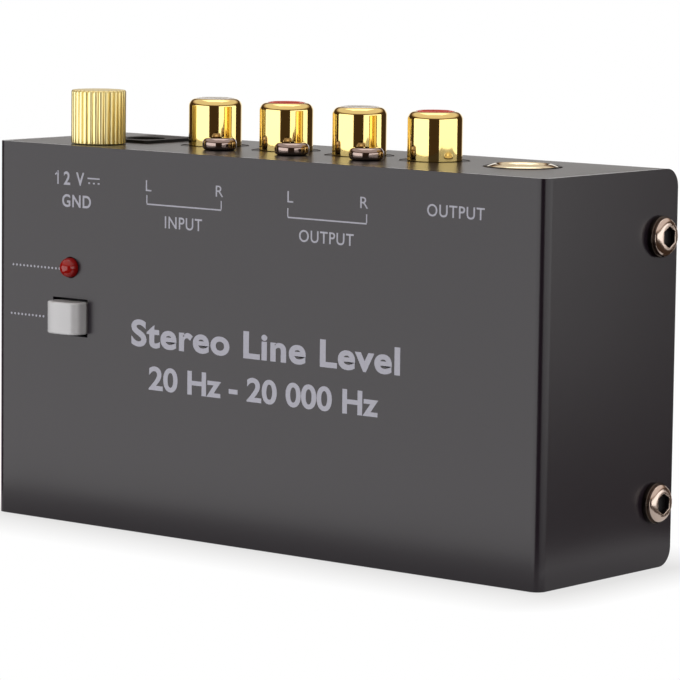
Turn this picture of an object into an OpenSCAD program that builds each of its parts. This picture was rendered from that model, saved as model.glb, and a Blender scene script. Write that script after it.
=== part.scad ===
// Phono preamplifier in a folded sheet-steel case, drawn as it stands in its picture:
// on its narrow underside, with the sockets on top. X runs along the case, +Y goes to the
// back and +Z up. The origin is the centre of the underside. All sizes are in millimetres.

/* [Case] */
// Length of the case
case_w = 108; // [106:0.5:130]
// Depth of the case, front to back
case_d = 33; // [32:0.5:45]
// Height of the case
case_h = 59.5; // [58:0.5:80]
// Thickness of the sheet steel
sheet = 1.2; // [0.8:0.1:1.4]
// Outer radius of the cover's two upright folds
front_fold_r = 1.6; // [1.5:0.1:3]
// Outer radius of the two folds at the back
back_fold_r = 2.8; // [2:0.1:5]
// Seam between the cover and the panels inside it
seam = 0.15; // [0.1:0.05:0.3]

/* [Layout] */
// Left end to the column of ground knob, power socket, lamp and button
power_inset = 15.9; // [15:0.1:16.5]
// Left end to the first phono socket
rca_inset = 30.5; // [29.5:0.1:31]
// Right end to the last phono socket
rca_last_inset = 33.7; // [33:0.1:35]
// Right end to the headphone-size socket
phone_inset = 17.2; // [14.5:0.1:17.5]
// Front face to the line of the sockets
socket_depth = 17.5; // [16.8:0.1:18.5]
// Socket line to the face of the circuit board
socket_rise = 7.2; // [7:0.1:7.8]

/* [Ground terminal] */
// Diameter over the ribs of the thumb nut
knob_d = 8.6; // [7.5:0.1:10]
// Height of the thumb nut
knob_h = 8.4; // [7:0.1:10]
// Number of upright ribs round the thumb nut
knob_ribs = 30; // [20:1:40]
// Depth of the grooves between the ribs
rib_depth = 0.26; // [0.15:0.01:0.45]
// Thread diameter of the stud
stud_d = 4; // [3:0.5:4.5]
// Front face to the axis of the stud
stud_depth = 6.35; // [6:0.05:7.2]
// Play between the stud and the thumb nut's bore, on the radius
thread_play = 0.05; // [0.03:0.01:0.08]

/* [Phono sockets] */
// Outer diameter of the plated barrels
rca_d = 8.35; // [8:0.05:8.6]
// Height of the barrels above the panel
rca_h = 7.4; // [6.5:0.1:9]
// Wall of the barrels
rca_wall = 0.6; // [0.4:0.05:0.8]
// Radius of the barrels' rounded shoulder
rca_shoulder = 1.2; // [0.8:0.1:1.6]
// Bore of the centre contacts
contact_bore = 3.2; // [3:0.05:3.3]
// Outer diameter of the plastic collars that fill the panel holes
collar_d = 10.4; // [10:0.1:11]
// Gap round the plastic collars, on the radius
collar_gap = 0.2; // [0.1:0.05:0.4]
// Depth of the socket block below the panel
block_h = 13; // [12.5:0.5:13.5]

/* [Panel screws] */
// Head diameter of the screws between the phono sockets
panel_head_d = 5.3; // [4.8:0.1:5.8]
// Head height of the screws between the phono sockets
panel_head_h = 2; // [1.4:0.1:2.4]
// Thread diameter of the screws between the phono sockets
panel_screw_d = 2.9; // [2.2:0.1:3.2]
// Distance of those screws in front of the socket line
panel_screw_front = 7.3; // [6.8:0.1:7.6]

/* [Headphone-size socket] */
// Bore of the plated collar
phone_bore = 6.5; // [6.4:0.05:6.7]
// Outer diameter of the plated collar
ferrule_d = 10.5; // [9.6:0.1:11]
// Height of the plated collar above the panel
ferrule_h = 0.4; // [0.3:0.05:0.8]
// Radius of the collar's rounded mouth
mouth_r = 1.2; // [0.8:0.1:1.4]
// Diameter of the plastic nose round it
nose_d = 11.5; // [11.2:0.1:12]
// Length of the socket body below the panel
phone_body_h = 26; // [24:0.5:26]

/* [Power socket] */
// Bore of the power socket
dc_bore = 6.2; // [6:0.1:6.6]
// Diameter of its centre pin
dc_pin_d = 2; // [1.6:0.1:2.5]
// Height of its face above the panel
dc_out = 0.4; // [0.2:0.05:1]
// Gap round its face in the window of the panel
dc_gap = 0.35; // [0.2:0.05:0.6]

/* [Lamp and button] */
// Diameter of the lamp
led_d = 3.1; // [2.9:0.1:3.2]
// Height of the lamp's tip above the front face
led_out = 1.75; // [1.6:0.05:2.5]
// Top of the case to the lamp
led_drop = 19.15; // [19:0.05:20]
// Width of the button
button_w = 6.6; // [5.5:0.1:7.2]
// Height of the button
button_h = 5.1; // [4.5:0.1:5.6]
// Height of the button's side edges above the front face
button_out = 2.3; // [2.1:0.1:3]
// Crown of the button's face
button_crown = 0.45; // [0.2:0.05:0.8]
// Top of the case to the button
button_drop = 26.95; // [26.5:0.05:27.5]
// Travel of the button
button_travel = 1.8; // [1:0.1:2]
// Gap between the button and its window
button_gap = 0.4; // [0.25:0.05:0.6]

/* [Side screws] */
// Thread diameter of the screws in the two ends
side_screw_d = 3; // [2.5:0.1:3.3]
// Head diameter of the screws in the two ends
side_head_d = 5.6; // [5.2:0.1:6]
// Head height of the screws in the two ends
side_head_h = 1.05; // [0.9:0.05:2]
// Key size of their hexagon sockets
hex_key = 2.8; // [2:0.1:3]
// Outer diameter of the spring washers
washer_d = 6.2; // [5.9:0.1:7]
// Thickness of the spring washers
washer_h = 0.8; // [0.6:0.05:1]
// Back face to the axis of the end screws
side_screw_back = 4.6; // [4.4:0.1:5.2]
// Underside and top of the case to the axes of the end screws
side_screw_edge = 9.9; // [9:0.1:11]

/* [Circuit board] */
// Thickness of the circuit board
board_t = 1.6; // [1.2:0.1:1.8]
// Ends of the case to the edges of the board
board_side = 5; // [4.5:0.1:5.5]
// Underside of the case to the lower edge of the board
board_foot = 6; // [4:0.5:7]
// Top of the case to the upper edge of the board
board_drop = 5.5; // [5:0.1:6]
// Diameter of the pillars that hold the board's lower corners
pillar_d = 5; // [4.5:0.1:6]
// Diameter of the screws that hold the board to the pillars
board_screw_d = 3; // [2.5:0.1:3]

/* [Hidden] */
$fn = 64;

// How far a cut runs past the face that it opens
overcut = 0.5;
// Clearance round pins, blades and inserts that sit in a hole, on the radius
fit = 0.05;

// Faces of the case
left = -case_w / 2;
right = case_w / 2;
front = -case_d / 2;
back = case_d / 2;
top = case_h;
panel_under = top - sheet;
front_inside = front + sheet;
back_inside = back - sheet;
chassis_w = case_w - 2 * (sheet + seam);

// Places of the pieces
power_x = left + power_inset;
rca_pitch = (case_w - rca_inset - rca_last_inset) / 3;
rca_x = [for (i = [0:3]) left + rca_inset + i * rca_pitch];
phone_x = right - phone_inset;
socket_y = front + socket_depth;
stud_y = front + stud_depth;
board_y = socket_y + socket_rise;
board_back = board_y + board_t;
led_z = top - led_drop;
button_z = top - button_drop;
side_screw_y = back - side_screw_back;
side_screw_z = [side_screw_edge, top - side_screw_edge];
panel_screw_x = [for (i = [0:2]) (rca_x[i] + rca_x[i + 1]) / 2];
panel_screw_y = socket_y - panel_screw_front;

// Tabs of the chassis that take the end screws
tab_rim = 4.5;
tab_h = 2 * tab_rim + side_screw_d;
tab_boss_d = 4.8;
tab_boss_h = 1;
side_screw_l = 6;

// Ground terminal
knob_lift = 0.1;
knob_chamfer = 0.3;
rib_flat = 0.6;
knob_roof = 1.2;
stud_flange_d = 7;
stud_flange_h = 1.2;
lug_t = 0.8;
lug_d = 8;
lug_tail_w = 3;
nut_key = 7;
nut_h = 3.2;
stud_end = 0.8;
captive_d = 6.4;
captive_t = 0.5;
wire_d = 1.3;
wire_bend_r = 3;
wire_drop = 12;
lug_top = panel_under - stud_flange_h;
nut_top = lug_top - lug_t;
stud_bottom = nut_top - nut_h - stud_end;

// Phono sockets
block_side = 6.5;
block_front = 7.2;
barrel_below = 8.5;
barrel_step = 0.2;
contact_wall = 0.5;
contact_below = 6;
contact_top = rca_h - 1.7;
contact_slot = 0.6;
lead_in_play = 0.4;
insulator_crown = 0.12;
insulator_ease = 0.2;
tail_w = 0.9;
tail_below = 11.5;
tail_slot_h = tail_below - barrel_below + tail_w;
tab_t = 0.5;
tab_w = 1.6;
pin_out = 1.2;
screw_boss_d = 6;
panel_screw_l = 8;
panel_shoulder = 0.85;

// Headphone-size socket
phone_side = 7.5;
ferrule_below = 6;
ferrule_seat = 0.8;
ferrule_wall = 0.9;
ferrule_edge = 0.25;
nose_out = 0.1;
phone_bore_play = 0.3;
spring_leg_h = 0.8;
spring_t = 0.4;
spring_w = 3;
spring_slot_h = 14;
spring_slot_w = spring_w + 1;
spring_rest = 0.1;

// Power socket
dc_face_w = 9;
dc_face_h = 12;
dc_face_t = 3.5;
dc_face_round = 0.7;
dc_axis_rise = 7.2;
dc_length = 14.4;
dc_bore_h = 10;
dc_pin_short = 1;
dc_blade_w = 2.4;
dc_blade_t = 0.5;
dc_top = top + dc_out;
dc_y = board_y - dc_axis_rise;
lug_hole_x = (power_x + dc_face_w / 2 + rca_x[0] - block_side) / 2;

// Lamp
led_flange_d = 3.8;
led_flange_t = 1;
led_shaft = 2.7;
led_lead_d = 0.5;
led_lead_gap = 2.54;
led_hole_play = 0.12;
spacer_d = 4.6;
spacer_bore = 3.4;
led_flange_y = front - led_out + led_d / 2 + led_shaft;

// Button and its switch
button_l = 12.6;
button_round = 0.5;
switch_w = 8.5;
switch_l = 12;
plunger_w = 3;
plunger_socket = 4;
plunger_l = 10.5;
plunger_play = 0.2;
spring_d = 2.4;
spring_wire = 0.4;
spring_turns = 6;
switch_pin_gap = 2.5;
switch_pin_row = 4.6;
button_face = front - button_out;
button_end = button_face + button_l;
switch_face = board_y - switch_l;
plunger_front = button_end - plunger_socket;
plunger_end = plunger_front + plunger_l;
spring_end = board_y - 1.2;

// Circuit board
board_w = case_w - 2 * board_side;
board_z0 = board_foot;
board_z1 = top - board_drop;
pillar_x = board_w / 2 - 4;
pillar_z = board_z0 + 4;
board_head_d = 5.6;
board_head_h = 2;
pin_r = 0.3;
pin_hole_r = 0.4;

// Small parts on the board, each as [x, z]. Their rows are counted down from the underside of
// the phono sockets' block, and each row has its middle and its pitch along the board.
chip_drop = 15.3;
chip_mid = -4;
chip_step = 20;
chips = [for (side = [-0.5, 0.5]) [chip_mid + side * chip_step, row_z(chip_drop)]];
chip_size = [9.8, 3.3, 6.4];
chip_lift = 0.6;
chip_pitch = 2.54;
chip_row = 7.62;
chip_shoulder = 1.5;
chip_notch_r = 0.8;
chip_notch_h = 0.4;
leg_w = 0.5;
lead_root = 0.2;
small_cap_drop = 32.3;
small_cap_mid = 1.5;
small_cap_step = 9;
small_cap_d = 6.3;
small_cap_h = 11;
small_cap_leads = 2.5;
small_caps = [for (i = [-2.5:2.5]) [small_cap_mid + i * small_cap_step, row_z(small_cap_drop)]];
big_cap_drop = 30.8;
big_cap_beside = 4.1;
big_cap_d = 10;
big_cap_h = 16;
big_cap_leads = 5;
big_cap = [power_x + big_cap_beside, row_z(big_cap_drop)];
can_base = 1.2;
can_groove = 0.4;
can_groove_h = 0.5;
film_drop = 6.3;
film_mid = -2.5;
film_step = 13;
film_size = [7.2, 7, 3];
film_leads = 5;
films = [for (i = [-1.5:1.5]) [film_mid + i * film_step, row_z(film_drop)]];
resistor_drops = [24.8, 21.3];
resistor_mid = -3;
resistor_step = 14;
resistor_d = 2.3;
resistor_l = 6.4;
resistor_end = 1.3;
resistor_neck = 0.5;
resistor_waist = 0.82;
resistor_span = 10.16;
lead_d = 0.6;
ohms = [for (drop = resistor_drops, i = [-1.5:1.5]) [resistor_mid + i * resistor_step, row_z(drop)]];
regulator_inset = 13;
regulator_drop = 31.3;
regulator_d = 4.8;
regulator_h = 4.5;
regulator_lift = 2.5;
regulator_flat = 1.4;
regulator_leads = 2.54;
regulator_lead_r = 0.25;
regulator_at = [board_w / 2 - regulator_inset, row_z(regulator_drop)];

function row_z(drop) = panel_under - block_h - drop;
function pair(at, gap) = [[at[0] - gap / 2, at[1]], [at[0] + gap / 2, at[1]]];
function chip_legs(at) = [
    for (side = [-1, 1], k = [-1.5:1:1.5]) [at[0] + k * chip_pitch, at[1] + side * chip_row / 2]
];
function switch_legs() = [
    for (side = [-1, 1], k = [-1:1])
        [power_x + side * switch_pin_row / 2, button_z + k * switch_pin_gap]
];
function phone_legs() = [
    for (side = [-1, 1]) [phone_x + side * (phone_side - 1), panel_under - phone_body_h + 3]
];

// ---- shapes that several pieces share ----

// Plan of the cover: a box whose two front corners are rounded, its front face on y = 0
module fold_plan(width, depth, r) {
    translate([-width / 2, r]) square([width, depth - r]);
    translate([-width / 2 + r, 0]) square([width - 2 * r, r + overcut]);
    for (side = [-1, 1]) translate([side * (width / 2 - r), r]) circle(r);
}

// The case seen from the end, drawn in so much all round, with its back corners rounded
module end_outline(inset) {
    r = back_fold_r - inset;
    face = back - inset;
    translate([front, inset]) square([face - r - front, case_h - 2 * inset]);
    translate([front, inset + r]) square([face - front, case_h - 2 * (inset + r)]);
    for (z = [inset + r, case_h - inset - r]) translate([face - r, z]) circle(r);
}

// Carries an outline drawn as (y, z) along X
module along_x(width) {
    rotate([90, 0, 90]) translate([0, 0, -width / 2]) linear_extrude(width) children();
}

// A rectangle round the origin with rounded corners
module round_plan(w, d, r) {
    translate([-w / 2, r - d / 2]) square([w, d - 2 * r]);
    translate([r - w / 2, -d / 2]) square([w - 2 * r, d]);
    for (x = [-1, 1], y = [-1, 1]) translate([x * (w / 2 - r), y * (d / 2 - r)]) circle(r);
}

// A round bar from y0 to y1 at x, z
module bar_y(x, z, y0, y1, r) {
    translate([x, y1, z]) rotate([90, 0, 0]) cylinder(h = y1 - y0, r = r);
}

// A block from y0 to y1, centred on x, z
module block_y(x, z, y0, y1, w, h) {
    translate([x - w / 2, y0, z - h / 2]) cube([w, y1 - y0, h]);
}

// A straight tube standing on z = 0
module tube(h, r_out, r_in) {
    difference() {
        cylinder(h = h, r = r_out);
        translate([0, 0, -overcut]) cylinder(h = h + 2 * overcut, r = r_in);
    }
}

// ---- the case ----

module button_window(gap, y0, y1) {
    block_y(power_x, button_z, y0, y1, button_w + 2 * gap, button_h + 2 * gap);
}

module cover() {
    color([0.2, 0.2, 0.21]) difference() {
        intersection() {
            translate([0, front, 0]) linear_extrude(case_h) difference() {
                fold_plan(case_w, case_d, front_fold_r);
                translate([0, sheet])
                    fold_plan(case_w - 2 * sheet, case_d, front_fold_r - sheet);
            }
            along_x(case_w + 2 * overcut) end_outline(0);
        }
        bar_y(power_x, led_z, front - overcut, front_inside + overcut, led_d / 2 + led_hole_play);
        button_window(button_gap, front - overcut, front_inside + overcut);
        for (z = side_screw_z, side = [-1, 1])
            translate([side * (right - sheet / 2), side_screw_y, z]) rotate([0, 90, 0])
                cylinder(h = sheet + 2 * overcut, r = side_screw_d / 2 + 0.2, center = true);
    }
}

module panel_hole(x, y, r) {
    translate([x, y, panel_under - overcut]) cylinder(h = sheet + 2 * overcut, r = r);
}

// One of the four tabs folded in from the back plate, with its drawn and threaded boss
module chassis_tab() {
    reach = side_screw_back - sheet + tab_rim;
    translate([chassis_w / 2 - sheet, back_inside - reach, -tab_h / 2])
        cube([sheet, reach + sheet / 2, tab_h]);
    translate([chassis_w / 2 - sheet - tab_boss_h, side_screw_y, 0]) rotate([0, 90, 0])
        cylinder(h = tab_boss_h + sheet / 2, r = tab_boss_d / 2);
}

module chassis() {
    color([0.27, 0.27, 0.28]) difference() {
        union() {
            along_x(chassis_w) intersection() {
                difference() {
                    end_outline(0);
                    end_outline(sheet);
                }
                translate([front_inside + seam, 0]) square([case_d, case_h]);
            }
            for (z = side_screw_z, side = [0, 1])
                translate([0, 0, z]) mirror([side, 0, 0]) chassis_tab();
        }
        for (z = side_screw_z)
            translate([0, side_screw_y, z]) rotate([0, 90, 0]) difference() {
                cylinder(h = case_w, r = side_screw_d / 2, center = true);
                cylinder(h = chassis_w - 4 * (sheet + tab_boss_h), r = side_screw_d, center = true);
            }
        for (x = rca_x) panel_hole(x, socket_y, collar_d / 2 + collar_gap);
        for (x = panel_screw_x) panel_hole(x, panel_screw_y, panel_screw_d / 2 + 0.15);
        panel_hole(phone_x, socket_y, nose_d / 2 + collar_gap);
        panel_hole(power_x, stud_y, stud_d / 2 + fit);
        translate([power_x, board_y - dc_face_h / 2, panel_under + sheet / 2]) cube(
            [dc_face_w + 2 * dc_gap, dc_face_h + 2 * dc_gap, sheet + 2 * overcut], center = true);
    }
}

// Low domed head with a hexagon socket, standing on z = 0, and its thread below it
module side_screw() {
    key_r = hex_key / 2 / cos(30);
    rim_r = key_r + 0.25;
    edge = side_head_h * 0.4;
    difference() {
        rotate_extrude() polygon([
            [0, -side_screw_l], [side_screw_d / 2 - fit, -side_screw_l],
            [side_screw_d / 2 - fit, 0], [side_head_d / 2, 0], [side_head_d / 2, edge],
            [side_head_d / 2 - 0.35, edge + 0.4], [rim_r, side_head_h], [0, side_head_h]
        ]);
        translate([0, 0, 0.15]) cylinder(h = side_head_h, r = key_r, $fn = 6);
    }
}

module at_side_screws(out) {
    for (z = side_screw_z, side = [-1, 1])
        translate([side * (right + out), side_screw_y, z]) rotate([0, side * 90, 0]) children();
}

module side_screws() {
    color([0.75, 0.68, 0.62]) at_side_screws(washer_h) side_screw();
}

// Spring washers: flat rings cut once at a slant
module side_washers() {
    color([0.5, 0.47, 0.44]) at_side_screws(0) difference() {
        tube(washer_h, washer_d / 2, side_screw_d / 2 + 0.15);
        translate([0, 0, washer_h / 2]) rotate([20, 0, 0])
            translate([0, -0.25, -washer_h * 2]) cube([washer_d, 0.5, washer_h * 4]);
    }
}

// Pan heads with a round shoulder and a cross recess, down through the panel into the socket block
module panel_screws() {
    r = panel_head_d / 2;
    color([0.25, 0.23, 0.24]) for (x = panel_screw_x) translate([x, panel_screw_y, top]) difference() {
        union() {
            rotate_extrude() {
                square([r, panel_head_h - panel_shoulder]);
                square([r - panel_shoulder, panel_head_h]);
                translate([r - panel_shoulder, panel_head_h - panel_shoulder]) circle(panel_shoulder);
            }
            translate([0, 0, -panel_screw_l]) cylinder(h = panel_screw_l + 0.2, r = panel_screw_d / 2);
        }
        for (turn = [45, 135]) rotate(turn) translate([-1.5, -0.3, panel_head_h - 1]) cube([3, 0.6, 2]);
    }
}

// ---- ground terminal ----

// Thumb nut whose ribs run down to the panel, with a blind bore and a recess for its washer
module ground_knob() {
    crest = knob_d / 2;
    valley = crest - rib_depth;
    core = valley - 0.05;
    step = 360 / knob_ribs;
    groove = (1 - rib_flat) / 2;
    outline = [
        for (i = [0:knob_ribs - 1], p = [[valley, 0], [crest, groove], [crest, 1 - groove]])
            p[0] * [cos((i + p[1]) * step), sin((i + p[1]) * step)]
    ];
    color([0.85, 0.65, 0.25]) translate([power_x, stud_y, top + knob_lift]) difference() {
        union() {
            translate([0, 0, 0.1]) linear_extrude(knob_h - knob_chamfer - 0.1) polygon(outline);
            rotate_extrude() polygon([
                [0, 0], [core, 0], [core, knob_h - knob_chamfer], [core - knob_chamfer / 2, knob_h],
                [0, knob_h]
            ]);
        }
        translate([0, 0, -overcut])
            cylinder(h = knob_h - knob_roof + overcut, r = stud_d / 2 + thread_play);
        translate([0, 0, -overcut]) cylinder(h = captive_t + fit + overcut, r = captive_d / 2 + fit);
    }
}

// Plain washer that the thumb nut carries in its underside
module ground_washer() {
    color([0.8, 0.6, 0.25]) translate([power_x, stud_y, top + knob_lift])
        tube(captive_t, captive_d / 2, stud_d / 2 + 2 * thread_play);
}

// Stud pressed into the panel, with its flange underneath
module ground_stud() {
    stud_top = top + knob_lift + knob_h - knob_roof - 0.5;
    color([0.8, 0.6, 0.25]) translate([power_x, stud_y, 0]) {
        translate([0, 0, stud_bottom]) cylinder(h = stud_top - stud_bottom, r = stud_d / 2);
        translate([0, 0, lug_top]) cylinder(h = stud_flange_h, r = stud_flange_d / 2);
    }
}

// Solder tag under the stud's flange, its tail towards the sockets
module ground_lug() {
    color([0.75, 0.75, 0.72]) translate([0, 0, nut_top]) linear_extrude(lug_t) difference() {
        union() {
            translate([power_x, stud_y]) circle(lug_d / 2);
            translate([power_x, stud_y - lug_tail_w / 2]) square([lug_hole_x - power_x, lug_tail_w]);
            translate([lug_hole_x, stud_y]) circle(lug_tail_w / 2);
        }
        translate([power_x, stud_y]) circle(stud_d / 2 + fit);
        translate([lug_hole_x, stud_y]) circle(wire_d / 2 + fit);
    }
}

module ground_nut() {
    color([0.8, 0.8, 0.78]) translate([power_x, stud_y, nut_top - nut_h]) difference() {
        cylinder(h = nut_h, r = nut_key / 2 / cos(30), $fn = 6);
        translate([0, 0, -overcut]) cylinder(h = nut_h + 2 * overcut, r = stud_d / 2 + fit);
    }
}

// Wire from the tag down and back into the board
module ground_wire() {
    bend_z = nut_top - wire_drop;
    color([0.1, 0.1, 0.1]) {
        translate([lug_hole_x, stud_y, bend_z]) cylinder(h = wire_drop + lug_t, r = wire_d / 2);
        translate([lug_hole_x, stud_y + wire_bend_r, bend_z]) rotate([90, 0, 90]) rotate(180)
            rotate_extrude(angle = 90) translate([wire_bend_r, 0]) circle(wire_d / 2);
        bar_y(lug_hole_x, bend_z - wire_bend_r, stud_y + wire_bend_r, board_back, wire_d / 2);
    }
}

// ---- phono sockets ----

// One black moulding that carries all four sockets and takes the three panel screws
module rca_block() {
    z0 = panel_under - block_h;
    x0 = rca_x[0] - block_side;
    y0 = socket_y - block_front;
    color([0.08, 0.08, 0.08]) difference() {
        union() {
            translate([x0, y0, z0]) cube([rca_x[3] + block_side - x0, board_y - y0, block_h]);
            for (x = panel_screw_x) translate([x, panel_screw_y, z0])
                cylinder(h = block_h, r = screw_boss_d / 2);
            for (x = rca_x) translate([x, socket_y, panel_under - overcut])
                cylinder(h = sheet + overcut - 0.05, r = collar_d / 2);
        }
        for (x = rca_x) {
            translate([x, socket_y, top - barrel_below])
                cylinder(h = barrel_below + overcut, r = rca_d / 2 - barrel_step + fit);
            block_y(x, top - tail_below + tail_slot_h / 2 - tail_w / 2, socket_y - tail_w,
                board_y + overcut, 2 * tail_w, tail_slot_h);
            block_y(x, top - barrel_below + tab_t / 2, socket_y, board_y + overcut,
                tab_w + 2 * fit, tab_t + 2 * fit);
        }
        for (x = panel_screw_x) translate([x, panel_screw_y, panel_under - panel_screw_l])
            cylinder(h = panel_screw_l + overcut, r = panel_screw_d / 2 + fit);
    }
}

// Plated barrel with a rounded shoulder, stepped in below the panel, and its tab through the board
module rca_shell(x) {
    r = rca_d / 2;
    inner = r - rca_wall;
    lip = r - rca_shoulder;
    color([0.9, 0.7, 0.3]) {
        translate([x, socket_y, top]) rotate_extrude() difference() {
            union() {
                translate([inner, 0]) square([rca_wall, rca_h - rca_shoulder]);
                translate([inner, -barrel_below]) square([rca_wall - barrel_step, barrel_below + 0.1]);
                translate([lip, rca_h - rca_shoulder]) intersection() {
                    circle(rca_shoulder);
                    square(rca_shoulder);
                }
            }
            translate([0, -barrel_below - overcut])
                square([inner, barrel_below + overcut + rca_h - rca_shoulder]);
        }
        translate([x - tab_w / 2, socket_y + inner + tab_t / 4, top - barrel_below])
            cube([tab_w, board_back + pin_out - socket_y - inner - tab_t / 4, tab_t]);
    }
}

// Coloured insulator inside the barrel, bored for the contact, its crowned top just above the rim
module rca_insulator(x, tone) {
    r = rca_d / 2 - rca_wall - fit;
    neck = rca_d / 2 - rca_shoulder - fit;
    hole = contact_bore / 2 + lead_in_play;
    color(tone) translate([x, socket_y, top]) difference() {
        union() {
            translate([0, 0, -barrel_below])
                cylinder(h = barrel_below + rca_h - rca_shoulder - fit, r = r);
            rotate_extrude() polygon([
                [0, 0], [neck, 0], [neck, rca_h - insulator_ease], [neck - insulator_ease, rca_h],
                [(neck + hole) / 2, rca_h + insulator_crown], [hole, rca_h + insulator_crown / 2],
                [0, rca_h + insulator_crown / 2]
            ]);
        }
        translate([0, 0, -contact_below]) cylinder(
            h = contact_below + contact_top + fit, r = contact_bore / 2 + contact_wall + fit);
        cylinder(h = rca_h + overcut, r = hole);
        translate([0, 0, -barrel_below - overcut]) cylinder(h = barrel_below, r = tail_w * 0.8);
    }
}

// Slotted contact sleeve with its tail bent back through the board
module rca_contact(x) {
    r = contact_bore / 2;
    color([0.85, 0.7, 0.35]) {
        translate([x, socket_y, top]) difference() {
            translate([0, 0, -contact_below])
                cylinder(h = contact_below + contact_top, r = r + contact_wall);
            translate([0, 0, 0.6 - contact_below]) cylinder(h = contact_below + rca_h, r = r);
            translate([-contact_slot / 2, -2 * r, 0.6])
                cube([contact_slot, 4 * r, 2.4]);
        }
        translate([x - tail_w / 2, socket_y - tail_w / 2, top - tail_below])
            cube([tail_w, tail_w, tail_below - contact_below + 0.3]);
        translate([x - tail_w / 2, socket_y - tail_w / 2, top - tail_below])
            cube([tail_w, board_back + pin_out - socket_y + tail_w / 2, tail_w]);
    }
}

// ---- headphone-size socket ----

module phone_body() {
    z0 = panel_under - phone_body_h;
    color([0.08, 0.08, 0.08]) difference() {
        union() {
            translate([phone_x - phone_side, socket_y - socket_rise, z0])
                cube([2 * phone_side, 2 * socket_rise, phone_body_h]);
            translate([phone_x, socket_y, panel_under - overcut])
                cylinder(h = sheet + overcut + nose_out, r = nose_d / 2);
        }
        translate([phone_x, socket_y, z0 - overcut])
            cylinder(h = phone_body_h + sheet, r = phone_bore / 2 + phone_bore_play);
        translate([phone_x, socket_y, top - ferrule_below])
            cylinder(h = ferrule_below + sheet, r = phone_bore / 2 + ferrule_wall + fit);
        translate([phone_x, socket_y, top - ferrule_seat])
            cylinder(h = ferrule_seat + sheet, r = ferrule_d / 2 + fit);
        for (side = [-1, 1]) translate([phone_x, 0, 0]) mirror([side < 0 ? 1 : 0, 0, 0]) {
            translate([phone_bore / 2 - 1, socket_y - spring_slot_w / 2, z0 + 1.5])
                cube([phone_side, spring_slot_w, spring_slot_h]);
            translate([phone_side - 1 - fit, socket_y, z0 + 3 - fit])
                cube([spring_t + 2 * fit, socket_rise + overcut, spring_leg_h + 2 * fit]);
        }
    }
}

// Plated collar: a flange let into the nose, a bell mouth and a tube down into the body
module phone_ferrule() {
    r = ferrule_d / 2;
    bore = phone_bore / 2;
    color([0.85, 0.78, 0.6]) translate([phone_x, socket_y, top]) rotate_extrude() difference() {
        union() {
            translate([bore, -ferrule_below]) square([ferrule_wall, ferrule_below]);
            translate([bore, -ferrule_seat + fit])
                square([r - bore, ferrule_seat - fit + ferrule_h - ferrule_edge]);
            translate([bore, 0]) square([r - bore - ferrule_edge, ferrule_h]);
            translate([r - ferrule_edge, ferrule_h - ferrule_edge]) circle(ferrule_edge);
        }
        difference() {
            translate([bore - 1, ferrule_h - mouth_r]) square([1 + mouth_r, mouth_r + 1]);
            translate([bore + mouth_r, ferrule_h - mouth_r]) circle(mouth_r);
        }
    }
}

// Leaf spring in a slot of the socket body: a bowed strip and a leg into the board
module phone_spring(side) {
    z0 = panel_under - phone_body_h + 3;
    leg_x = phone_side - 1;
    near = phone_bore / 2 + spring_rest;
    outline = [
        [leg_x, z0], [leg_x, z0 + spring_slot_h * 0.25], [near, z0 + spring_slot_h * 0.55],
        [near + 0.9, z0 + spring_slot_h * 0.75]
    ];
    thick = [spring_t, 0];
    color([0.8, 0.8, 0.78]) translate([phone_x, 0, 0]) mirror([side < 0 ? 1 : 0, 0, 0]) {
        translate([0, socket_y + spring_w / 2, 0]) rotate([90, 0, 0]) linear_extrude(spring_w)
            polygon(concat(outline, [for (i = [len(outline) - 1:-1:0]) outline[i] + thick]));
        translate([leg_x, socket_y - spring_w / 2, z0])
            cube([spring_t, board_back + pin_out - socket_y + spring_w / 2, spring_leg_h]);
    }
}

module phone_tip_spring() {
    phone_spring(-1);
}

module phone_ring_spring() {
    phone_spring(1);
}

// ---- power socket ----

module dc_body() {
    bottom = dc_top - dc_length;
    color([0.07, 0.07, 0.07]) difference() {
        union() {
            translate([power_x, board_y - dc_face_h / 2, dc_top - dc_face_t])
                linear_extrude(dc_face_t) round_plan(dc_face_w, dc_face_h, dc_face_round);
            translate([power_x - dc_face_w / 2, dc_y, bottom])
                cube([dc_face_w, dc_axis_rise, dc_length - overcut]);
            translate([power_x, dc_y, bottom]) cylinder(h = dc_length - overcut, r = dc_face_w / 2);
        }
        translate([power_x, dc_y, dc_top - dc_bore_h])
            cylinder(h = dc_bore_h + overcut, r = dc_bore / 2);
        translate([power_x, dc_y, bottom - overcut]) cylinder(h = dc_length, r = dc_pin_d / 2 + fit);
        for (z = dc_blades())
            block_y(power_x, z, dc_y + 3.6, board_y + overcut,
                dc_blade_w + 2 * fit, dc_blade_t + 2 * fit);
    }
}

function dc_blades() = [dc_top - dc_bore_h + 2, dc_top - dc_length + 1.4];

// Centre pin with a rounded tip and a riveted tail
module dc_pin() {
    r = dc_pin_d / 2;
    tip = dc_top - dc_pin_short - r;
    tail = dc_top - dc_length - 0.6;
    color([0.85, 0.85, 0.85]) translate([power_x, dc_y, 0]) {
        translate([0, 0, tail]) cylinder(h = tip - tail, r = r);
        translate([0, 0, tip]) sphere(r);
        translate([0, 0, tail]) cylinder(h = 0.6, r = r + 0.6);
    }
}

module dc_terminals() {
    color([0.8, 0.8, 0.78]) for (z = dc_blades())
        block_y(power_x, z, dc_y + 3.7, board_back + pin_out, dc_blade_w, dc_blade_t);
}

// ---- lamp ----

module led_lens() {
    r = led_d / 2;
    centre_y = front - led_out + r;
    color([0.7, 0.05, 0.05]) {
        bar_y(power_x, led_z, centre_y, led_flange_y + led_flange_t / 2, r);
        translate([power_x, centre_y, led_z]) sphere(r);
        bar_y(power_x, led_z, led_flange_y, led_flange_y + led_flange_t, led_flange_d / 2);
    }
}

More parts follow.
